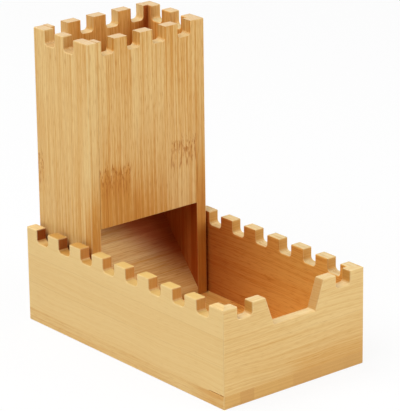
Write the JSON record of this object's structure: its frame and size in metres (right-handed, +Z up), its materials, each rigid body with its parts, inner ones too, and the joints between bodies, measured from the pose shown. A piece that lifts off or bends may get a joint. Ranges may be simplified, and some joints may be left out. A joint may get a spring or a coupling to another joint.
{
  "type": "dice tower",
  "caption": "Castle dice tower in bamboo board with an exit ramp, standing in the open rear end of a crenellated dice tray and lifting out of it.",
  "frame": {"origin": "under the middle of the tray's base board", "axes": "+X to the right as seen from the front wall, +Y from the front wall to the tower, +Z up"},
  "size_m": [0.081, 0.1414, 0.1403],
  "materials": {
    "tray_base_board": "satin clear-coated bamboo",
    "tray_left_wall": "satin clear-coated bamboo",
    "tray_right_wall": "satin clear-coated bamboo",
    "tray_front_wall": "satin clear-coated bamboo",
    "tower_left_side": "satin clear-coated bamboo",
    "tower_right_side": "satin clear-coated bamboo",
    "tower_front_panel": "satin clear-coated bamboo",
    "tower_rear_panel": "satin clear-coated bamboo",
    "exit_ramp": "satin clear-coated bamboo",
    "lower_baffle": "satin clear-coated bamboo",
    "upper_baffle": "satin clear-coated bamboo"
  },
  "bodies": {
    "tray": {"tray_base_board": "tray_base_board", "tray_left_wall": "tray_left_wall", "tray_right_wall": "tray_right_wall", "tray_front_wall": "tray_front_wall"},
    "tower": {"tower_left_side": "tower_left_side", "tower_right_side": "tower_right_side", "tower_front_panel": "tower_front_panel", "tower_rear_panel": "tower_rear_panel", "exit_ramp": "exit_ramp", "lower_baffle": "lower_baffle", "upper_baffle": "upper_baffle"}
  },
  "joints": [
    {"name": "tower_lift_out", "type": "slide", "parent": "tray", "child": "tower", "axis": [0, 0, 1], "range_m": [0, 0.045]}
  ]
}
